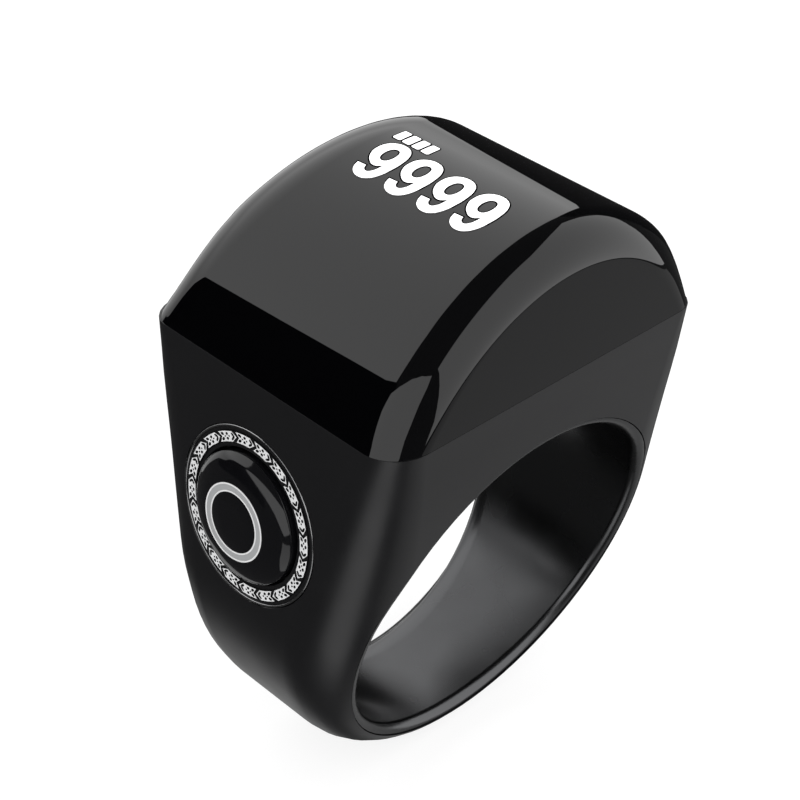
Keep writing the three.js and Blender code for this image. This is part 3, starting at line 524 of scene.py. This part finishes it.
# The crown's arc runs over into a tighter arc on either side, and a skirt is left on below the parting line.
# The blank is drawn out along the bore and cut off at both ends.
def arched_cover():
    shoulder = Vector((ARCH * math.sin(SHOULDER), CREST - ARCH + ARCH * math.cos(SHOULDER)))
    run, drop = HEAD_X - shoulder.x, shoulder.y - PARTING_Z
    bend = math.atan2(drop, run) - SHOULDER
    side_radius = math.hypot(run, drop) / (2 * math.sin(bend))
    side = shoulder - side_radius * Vector((math.sin(SHOULDER), math.cos(SHOULDER)))
    bpy.ops.object.select_all(action="DESELECT")
    bpy.ops.mesh.primitive_plane_add(size=MM)
    cover = bpy.context.object
    cover.name = "arched_cover"
    bpy.ops.object.mode_set(mode="EDIT")
    bpy.ops.mesh.merge(type="CENTER")
    lean = SHOULDER + 2 * bend
    foot = side + side_radius * Vector((math.sin(lean), math.cos(lean)))
    leg = SKIRT * Vector((math.cos(lean), -math.sin(lean)))
    bpy.ops.transform.translate(value=Vector((foot.x + leg.x, 0, foot.y + leg.y)) * MM)
    bpy.ops.mesh.extrude_region_move(TRANSFORM_OT_translate={"value": Vector((-leg.x, 0, -leg.y)) * MM})
    for centre, turn, steps in (
        (side, 2 * bend, 10),
        (Vector((0, CREST - ARCH)), 2 * SHOULDER, 50),
        (Vector((-side.x, side.y)), 2 * bend, 10),
    ):
        pivot = Vector((centre.x, 0, centre.y)) * MM
        bpy.ops.mesh.spin(steps=steps, angle=turn, center=pivot, axis=(0, 1, 0))
    bpy.ops.mesh.extrude_region_move(TRANSFORM_OT_translate={"value": Vector((-leg.x, 0, leg.y)) * MM})
    bpy.ops.mesh.select_all(action="SELECT")
    bpy.ops.mesh.edge_face_add()
    bpy.ops.transform.translate(value=(0, -BLANK_HALF * MM, 0))
    bpy.ops.mesh.extrude_region_move(TRANSFORM_OT_translate={"value": (0, 2 * BLANK_HALF * MM, 0)})
    for end, slope in ((-1, -FRONT_LEAN), (1, BACK_SLOPE)):
        bpy.ops.mesh.select_all(action="SELECT")
        bpy.ops.mesh.bisect(
            plane_co=Vector((0, end * HEAD_Y, PARTING_Z)) * MM,
            plane_no=(0, end * math.cos(slope), math.sin(slope)),
            use_fill=True, clear_outer=True, threshold=WELD,
        )
    bpy.ops.mesh.select_all(action="SELECT")
    bpy.ops.mesh.remove_doubles(threshold=WELD)
    bpy.ops.mesh.normals_make_consistent(inside=False)
    bpy.ops.object.mode_set(mode="OBJECT")
    return cover, side, side_radius


# The edges round an end are weighted by their rounding's radius, which grows up the back end.
END_RADIUS, BACK_GROWTH, LARGEST_RADIUS = 2.08, 1.2, 4


def end_edges(piece, end):
    piece.data.attributes.new("bevel_weight_edge", "FLOAT", "EDGE")
    weights = piece.data.attributes["bevel_weight_edge"].data
    spots = [vertex.co / MM for vertex in piece.data.vertices]
    for edge in piece.data.edges:
        a, b = (spots[i] for i in edge.vertices)
        at_end = min(a.y * end, b.y * end) > HEAD_Y / 2
        along_foot = abs(a.x - b.x) > 2 * HEAD_X - SKIRT
        weights[edge.index].value = 0
        if at_end and not along_foot:
            height = max((a.z + b.z) / 2 - PARTING_Z, 0)
            growth = BACK_GROWTH * height / (CREST - PARTING_Z) if end > 0 else 0
            weights[edge.index].value = (END_RADIUS + growth) / LARGEST_RADIUS


def rounded_end(piece, end):
    end_edges(piece, end)
    rounding = piece.modifiers.new("rounded end", "BEVEL")
    rounding.limit_method = "WEIGHT"
    rounding.width = LARGEST_RADIUS * MM
    rounding.segments = 14
    rounding.use_clamp_overlap = False
    only(piece)
    bpy.ops.object.modifier_apply(modifier=rounding.name)
    piece.data.attributes.remove(piece.data.attributes["bevel_weight_edge"])


def back_of_cover(z):
    return HEAD_Y - (z - PARTING_Z) * math.tan(BACK_SLOPE)


clear_black, tree, surface = finish_named("polished see-through black", (0.001, 0.001, 0.0013), 0.012)
surface.inputs["Specular IOR Level"].default_value = 0.5
add_grain(tree, surface, 120, 0.008, 0.016, 0.0)

cover, side_centre, side_radius = arched_cover()
rounded_end(cover, -1)
rounded_end(cover, 1)
only(cover)
bpy.ops.object.mode_set(mode="EDIT")
bpy.ops.mesh.select_all(action="SELECT")
bpy.ops.mesh.bisect(plane_co=(0, 0, PARTING_Z * MM), plane_no=(0, 0, 1), clear_inner=True, threshold=WELD)
bpy.ops.mesh.select_all(action="DESELECT")
bpy.ops.object.mode_set(mode="OBJECT")

# The two back corners, where the roundings meet, are smoothed, and nothing stands past the back end's slope.
CORNER_X, CORNER_LOW_Z, CORNER_HIGH_Z = 6.5, 15, 19.5
EDGE_KEPT, EDGE_RUN = 0.08, 1.7
for vertex in cover.data.vertices:
    x, y, z = vertex.co / MM
    short_of_back = back_of_cover(z) - y
    at_corner = abs(x) > CORNER_X and CORNER_LOW_Z < z < CORNER_HIGH_Z
    vertex.select = at_corner and EDGE_KEPT < short_of_back < EDGE_RUN
    vertex.co.y += min(short_of_back, 0) * MM
bpy.ops.object.mode_set(mode="EDIT")
bpy.ops.mesh.vertices_smooth(factor=0.5, repeat=6)
bpy.ops.object.mode_set(mode="OBJECT")

for vertex in cover.data.vertices:
    x, y, z = vertex.co / MM
    if z < DRAWN_HIGH_Z:
        flank = side_centre.x + math.sqrt(side_radius**2 - (z - side_centre.y) ** 2)
        x, y = drawn_in(x, y, flank, back_of_cover(z), 1 - draw_in(z))
        vertex.co = Vector((x, y, z)) * MM
wall = cover.modifiers.new("wall", "SOLIDIFY")
wall.thickness = WALL * MM
wall.offset = -1
wall.use_even_offset = False
only(cover)
bpy.ops.object.modifier_apply(modifier=wall.name)
evened_normals(cover, crease=30)
cover.data.materials.append(clear_black)
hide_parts("display_cover")
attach(cover, "body")


# Digits: what the display panel shows through the cover, four nines and a row of four bars above the first.
# Plain numbers, drawn heavy, rounded and slanted. They lie on the cover's crown, where they are seen.
lit_white, tree, surface = finish_named("lit digit", (0.9, 0.9, 0.9), 0.4)
surface.inputs["Emission Color"].default_value = (1, 1, 1, 1)
surface.inputs["Emission Strength"].default_value = 0.85
edge_fade = tree.nodes.new("ShaderNodeTexNoise")
edge_fade.inputs["Scale"].default_value = 3000
soft_white = tree.nodes.new("ShaderNodeValToRGB")
soft_white.color_ramp.elements[0].color = (0.94, 0.94, 0.95, 1)
soft_white.color_ramp.elements[1].color = (1, 1, 1, 1)
where = tree.nodes.new("ShaderNodeTexCoord")
tree.links.new(where.outputs["Object"], edge_fade.inputs["Vector"])
tree.links.new(edge_fade.outputs["Fac"], soft_white.inputs["Fac"])
tree.links.new(soft_white.outputs["Color"], surface.inputs["Emission Color"])

printed_black, tree, surface = finish_named("dark digit edge", (0.004, 0.004, 0.004), 0.8)
add_grain(tree, surface, 2000, 0.75, 0.85, 0.0)
surface.inputs["Specular IOR Level"].default_value = 0.0

# The outline of one nine in millimetres, across and up, with its two sharp ends marked, and its eye.
NINE = [
    (0.10, 0.78, 1), (0.62, 0.82, 1), (0.72, 0.60, 0), (0.95, 0.50, 0), (1.20, 0.70, 0), (1.32, 1.05, 0),
    (1.35, 1.29, 1), (0.95, 1.04, 0), (0.50, 1.19, 0), (0.10, 1.68, 0), (0.00, 2.12, 0), (0.13, 2.76, 0),
    (0.50, 3.12, 0), (0.93, 3.22, 0), (1.42, 3.08, 0), (1.76, 2.68, 0), (1.93, 2.00, 0), (1.91, 1.30, 0),
    (1.72, 0.58, 0), (1.35, 0.14, 0), (0.92, 0.00, 0), (0.45, 0.12, 0), (0.20, 0.40, 0),
]
EYE = [(0.95, 1.545, 0), (0.59, 2.12, 0), (0.95, 2.695, 0), (1.31, 2.12, 0)]
BAR = [
    (0.02, 0.90, 1), (0.08, 0.97, 1), (0.46, 0.97, 1), (0.51, 0.88, 1),
    (0.56, 0.10, 1), (0.49, 0.00, 1), (0.11, 0.00, 1), (0.05, 0.08, 1),
]
HALF_THICKNESS = 0.003


# A flat sign with the given outlines, drawn wider by a little when it is the dark edge round another.
def drawn(loops, widen):
    outline = bpy.data.curves.new("sign", "CURVE")
    outline.dimensions = "2D"
    outline.fill_mode = "BOTH"
    outline.resolution_u = 5
    outline.extrude = HALF_THICKNESS * MM
    outline.offset = widen * MM
    for loop in loops:
        spline = outline.splines.new("BEZIER")
        spline.bezier_points.add(len(loop) - 1)
        spline.use_cyclic_u = True
        for point, (across, up_there, sharp) in zip(spline.bezier_points, loop):
            point.co = (across * MM, up_there * MM, 0)
            point.handle_left_type = point.handle_right_type = "VECTOR" if sharp else "AUTO"
    sign = bpy.data.objects.new("sign", outline)
    bpy.context.scene.collection.objects.link(sign)
    only(sign)
    bpy.ops.object.convert(target="MESH")
    sign = bpy.context.object
    bpy.ops.object.mode_set(mode="EDIT")
    bpy.ops.mesh.select_all(action="SELECT")
    bpy.ops.mesh.remove_doubles(threshold=2e-6)
    bpy.ops.mesh.quads_convert_to_tris()
    bpy.ops.mesh.subdivide(number_cuts=3)
    bpy.ops.mesh.normals_make_consistent(inside=False)
    bpy.ops.object.mode_set(mode="OBJECT")
    return sign


# Bends a sign round the cover's crown, at a place along the bore and across it, a hair above the surface.
def laid_on_crown(sign, name, along, across, lift, finish):
    sign.name = name
    crown = CREST - ARCH
    for vertex in sign.data.vertices:
        u, v, w = vertex.co / MM
        turn = (across + v) / ARCH
        radius = ARCH + lift + w
        spot = Vector((radius * math.sin(turn), along - u, crown + radius * math.cos(turn)))
        vertex.co = spot * MM
    sign.data.materials.append(finish)
    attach(sign, "body")


DIGIT_START, DIGIT_PITCH, DIGIT_FOOT, DIGIT_EDGE = 2.72, 2.19, -3.3, 0.08
BAR_START, BAR_PITCH, BAR_FOOT, BAR_EDGE = 3.0, 0.645, 0.12, 0.07
EDGE_LIFT, LIT_LIFT = 0.004, 0.013
for i in range(4):
    number = i + 1
    along = DIGIT_START - DIGIT_PITCH * i
    edge, lit = drawn([NINE, EYE], DIGIT_EDGE), drawn([NINE, EYE], 0)
    laid_on_crown(edge, "digit_edge_%d" % number, along, DIGIT_FOOT, EDGE_LIFT, printed_black)
    laid_on_crown(lit, "digit_%d" % number, along, DIGIT_FOOT, LIT_LIFT, lit_white)
    along = BAR_START - BAR_PITCH * i
    edge, lit = drawn([BAR], BAR_EDGE), drawn([BAR], 0)
    laid_on_crown(edge, "bar_edge_%d" % number, along, BAR_FOOT, EDGE_LIFT, printed_black)
    laid_on_crown(lit, "bar_%d" % number, along, BAR_FOOT, LIT_LIFT, lit_white)


# Electronics: board, chips, battery, motor, switch and ribbons, on their tray in the well of the head. They
# are bought parts, soldered, screwed or taped in, and none of them shows once the cover is on.
def dressed(finish, *names):
    for name in names:
        slots = nodes[name].data.materials
        slots.clear()
        slots.append(finish)


rubber_black, tree, surface = finish_named("soft black rubber", (0.008, 0.008, 0.008), 0.8)
add_grain(tree, surface, 2600, 0.72, 0.88, 0.3)
dressed(rubber_black, "cover_gasket", "button_seal", "battery_pad")

moulded_grey, tree, surface = finish_named("moulded charcoal", (0.0232, 0.0242, 0.0273), 0.5)
add_grain(tree, surface, 4200, 0.45, 0.6, 0.3)
dressed(moulded_grey, "mid_frame", "display_bracket")

solder_mask, tree, surface = finish_named("green solder mask", (0.0044, 0.0685, 0.0252), 0.3)
add_grain(tree, surface, 1800, 0.24, 0.36, 0.2)
dressed(solder_mask, "main_board")

chip_black, tree, surface = finish_named("chip black", (0.0091, 0.0091, 0.0103), 0.5)
add_grain(tree, surface, 6000, 0.45, 0.6, 0.3)
dressed(chip_black, "bluetooth_chip", "power_chip", "switch_body")

ivory, tree, surface = finish_named("ivory moulding", (0.6867, 0.6445, 0.5395), 0.45)
add_grain(tree, surface, 3800, 0.4, 0.55, 0.2)
dressed(
    ivory, "chip_antenna", "display_connector", "switch_plunger", "contact_sleeve_front",
    "contact_sleeve_back",
)

amber_film, tree, surface = finish_named("amber film", (0.4342, 0.1441, 0.0116), 0.25)
add_grain(tree, surface, 900, 0.2, 0.32, 0.1)
dressed(amber_film, "switch_flex", "display_flex", "contact_flex")

dark_glass, tree, surface = finish_named("dark display glass", (0.0052, 0.0052, 0.007), 0.05)
add_grain(tree, surface, 500, 0.03, 0.07, 0.02)
dressed(dark_glass, "display_panel")

cell_foil, tree, surface = finish_named("cell foil", (0.3968, 0.4179, 0.4508), 0.35, 1.0)
add_grain(tree, surface, 1100, 0.28, 0.45, 0.4)
dressed(cell_foil, "battery")

nickel, tree, surface = finish_named("nickel plate", (0.4851, 0.4969, 0.521), 0.3, 1.0)
add_grain(tree, surface, 2400, 0.24, 0.38, 0.15)
dressed(
    nickel, "crystal", "battery_tab_positive", "battery_tab_negative", "frame_screw_1", "frame_screw_2",
    "frame_screw_3", "frame_screw_4", "motor_case", "motor_base", "motor_shaft", "motor_weight",
)


# Charging contacts: gold-plated pins in their sleeves, with their heads let into the roof of the bore.
gold_plate, tree, surface = finish_named("gold plate", (0.6724, 0.4452, 0.1119), 0.22, 1.0)
add_grain(tree, surface, 3000, 0.16, 0.3, 0.15)
dressed(gold_plate, "charge_contact_front", "charge_contact_back")


# Studio: a pale floor, a white room, and soft panels and dark boards that stand out of the camera's sight.
# Their edges give the cover its crisp reflections. The camera looks down on the corner at the button's front.
PANEL_CENTRE = Vector((0, 0, 0.015))
FADE_LOW_Z, FADE_HIGH_Z = 0.07, 0.13


# A glowing sheet on a sphere round the ring, with its corners given in degrees round and up.
def panel(name, corners, centre, glow, reach=0.4, low_glow=None):
    bpy.ops.object.select_all(action="DESELECT")
    bpy.ops.mesh.primitive_circle_add(vertices=len(corners), fill_type="TRIFAN")
    sheet = bpy.context.object
    sheet.name = name
    points = sheet.data.vertices
    hub = min(points, key=lambda vertex: vertex.co.length).index
    rim = [vertex.index for vertex in points if vertex.index != hub]
    rim.sort(key=lambda i: math.atan2(points[i].co.y, points[i].co.x) % math.tau)
    for index, (turn, rise) in zip(rim + [hub], corners + [centre]):
        a, e = math.radians(turn), math.radians(rise)
        points[index].co = (math.cos(a) * math.cos(e), math.sin(a) * math.cos(e), math.sin(e))
    only(sheet)
    bpy.ops.object.mode_set(mode="EDIT")
    bpy.ops.mesh.select_all(action="SELECT")
    bpy.ops.mesh.subdivide(number_cuts=9)
    bpy.ops.object.mode_set(mode="OBJECT")
    for vertex in sheet.data.vertices:
        vertex.co = vertex.co.normalized() * reach + PANEL_CENTRE
    shine = bpy.data.materials.new(name + " glow")
    shine.use_nodes = True
    inside, links = shine.node_tree.nodes, shine.node_tree.links
    inside.clear()
    light = inside.new("ShaderNodeEmission")
    light.inputs["Strength"].default_value = glow
    if low_glow is not None:
        place = inside.new("ShaderNodeTexCoord")
        height = inside.new("ShaderNodeSeparateXYZ")
        fade = inside.new("ShaderNodeMapRange")
        fade.inputs["From Min"].default_value = FADE_LOW_Z
        fade.inputs["From Max"].default_value = FADE_HIGH_Z
        fade.inputs["To Min"].default_value = low_glow
        fade.inputs["To Max"].default_value = glow
        links.new(place.outputs["Object"], height.inputs["Vector"])
        links.new(height.outputs["Z"], fade.inputs["Value"])
        links.new(fade.outputs["Result"], light.inputs["Strength"])
    out = inside.new("ShaderNodeOutputMaterial")
    links.new(light.outputs["Emission"], out.inputs["Surface"])
    sheet.data.materials.append(shine)
    sheet.visible_camera = False
    sheet.visible_shadow = False


panel(
    "back panel",
    [
        (32.8, 10.9), (34.3, 8.6), (35.9, 6.1), (37.7, 2.7), (41.7, -6.1), (44, -12), (75, -26), (85, -28),
        (97, -24), (103, -13), (109, -1), (123, 3.4), (122.5, 8.5), (126, 13.5), (133, 17), (136.2, 18.1),
        (139.1, 19.7), (141.7, 21.2), (143.1, 21.9), (143.3, 23.5), (144.5, 30), (141.5, 42), (123.4, 56.6),
        (90, 62.6), (56.6, 56.6), (39, 43), (33.5, 32), (33, 25.2),
    ],
    (90, 35), 1.4, low_glow=0.9,
)
panel(
    "front panel",
    [
        (-130.5, 23.4), (-117.5, 12.4), (-101.5, -3.3), (-83.1, -20.7), (-75.6, -28), (-66, -28.5),
        (-46, -30.5), (-30, -26), (-18.6, -21.3), (-16.9, -13.3), (-12.9, -4), (-6.2, 7.3), (2.9, 15.5),
        (9.5, 23.4), (13.2, 33), (15, 44), (-5, 55.6), (-49.9, 60), (-78, 59), (-104, 49.5), (-120.6, 36.8),
    ],
    (-60, 15), 1.4,
)
panel(
    "side panel",
    [
        (146.3, 18), (147, 15.8), (153.5, 13.3), (161.2, 10.6), (169.1, 8.1), (178, 5), (-150, -12),
        (-122.6, -6), (-127.3, 0.6), (-128.6, 5.3), (-131.4, 12.2), (-132.3, 17.6), (-135.8, 23.1),
        (-158.8, 29.8), (-179.4, 30.7), (159.7, 26.3), (146.5, 20.7),
    ],
    (178, 18), 1.4,
)
panel(
    "low front panel",
    [
        (-80, -30.5), (-62, -30.5), (-46, -32), (-30, -27.5), (-20, -23.5), (-14, -24), (10, -32), (40, -50),
        (20, -80), (-60, -86), (-90, -60),
    ],
    (-30, -52), 0.32,
)
panel(
    "low corner panel",
    [(-128, -22), (-120, -45), (-125, -65), (-155, -60), (-166, -38), (-158, -20)],
    (-142, -40), 0.95,
)
panel(
    "low back panel",
    [(55, -48), (80, -42), (108, -46), (112, -62), (80, -75), (50, -65)],
    (80, -58), 0.6,
)
panel(
    "right dark board",
    [
        (45, -30), (46, 0), (42, 14), (36, 30), (20, 34), (12, 22), (2, 12), (2, -2), (12, -20), (25, -34),
    ],
    (26, 0), 0.02, reach=0.41,
)
panel(
    "left dark board",
    [(112, 0), (125, 22), (150, 24), (172, 6), (168, -6), (140, -8), (118, -6)],
    (142, 8), 0.0, reach=0.41,
)

FLOOR_Z = BAND_Z - BAND_RADIUS - 0.05
bpy.ops.object.select_all(action="DESELECT")
bpy.ops.mesh.primitive_plane_add(size=3, location=(0, 0, FLOOR_Z * MM))
floor = bpy.context.object
floor.name = "floor"
bpy.ops.object.transform_apply(location=True, rotation=True, scale=True)
pale, tree, surface = finish_named("pale floor", (0.25, 0.25, 0.25), 0.9)
surface.inputs["Emission Color"].default_value = (1, 1, 1, 1)
surface.inputs["Emission Strength"].default_value = 0.82
floor.data.materials.append(pale)
floor.visible_glossy = False

room = bpy.data.worlds.new("white room")
bpy.context.scene.world = room
room.use_nodes = True
tree = room.node_tree
back = tree.nodes["Background"]
back.inputs["Color"].default_value = (1, 1, 1, 1)
back.inputs["Strength"].default_value = 1.0
dim = tree.nodes.new("ShaderNodeBackground")
dim.inputs["Color"].default_value = (0.06, 0.06, 0.06, 1)
path = tree.nodes.new("ShaderNodeLightPath")
mix = tree.nodes.new("ShaderNodeMixShader")
tree.links.new(path.outputs["Is Glossy Ray"], mix.inputs["Fac"])
tree.links.new(back.outputs["Background"], mix.inputs[1])
tree.links.new(dim.outputs["Background"], mix.inputs[2])
tree.links.new(mix.outputs["Shader"], tree.nodes["World Output"].inputs["Surface"])
bpy.context.scene.view_settings.view_transform = "Standard"

# The camera is placed by its turn, rise and roll, by its distance from the bore's centre and by how far aside
# and above that centre its axis passes. The picture shows the ring at so many pixels per millimetre.
turn, rise, roll = math.radians(-45.37), math.radians(35.46), math.radians(2.12)
DISTANCE, ASIDE, ABOVE = 113.9, -0.91, 6.73
PIXELS_PER_MM, PICTURE_WIDTH, SENSOR_WIDTH = 18.33, 800, 36
back_dir = Vector((math.sin(turn) * math.cos(rise), -math.cos(turn) * math.cos(rise), math.sin(rise)))
right = Vector((math.cos(turn), math.sin(turn), 0))
up = back_dir.cross(right)
right_rolled = math.cos(roll) * right + math.sin(roll) * up
up_rolled = math.cos(roll) * up - math.sin(roll) * right
eye = (right_rolled * ASIDE + up_rolled * ABOVE + back_dir * DISTANCE) * MM
lens = bpy.data.cameras.new("camera")
lens.sensor_width = SENSOR_WIDTH
lens.lens = PIXELS_PER_MM * DISTANCE / PICTURE_WIDTH * SENSOR_WIDTH
lens.clip_start = 0.001
lens.clip_end = 10
camera = bpy.data.objects.new("camera", lens)
bpy.context.scene.collection.objects.link(camera)
camera.matrix_world = Matrix((right_rolled, up_rolled, back_dir)).transposed().to_4x4()
camera.location = eye
bpy.context.scene.camera = camera
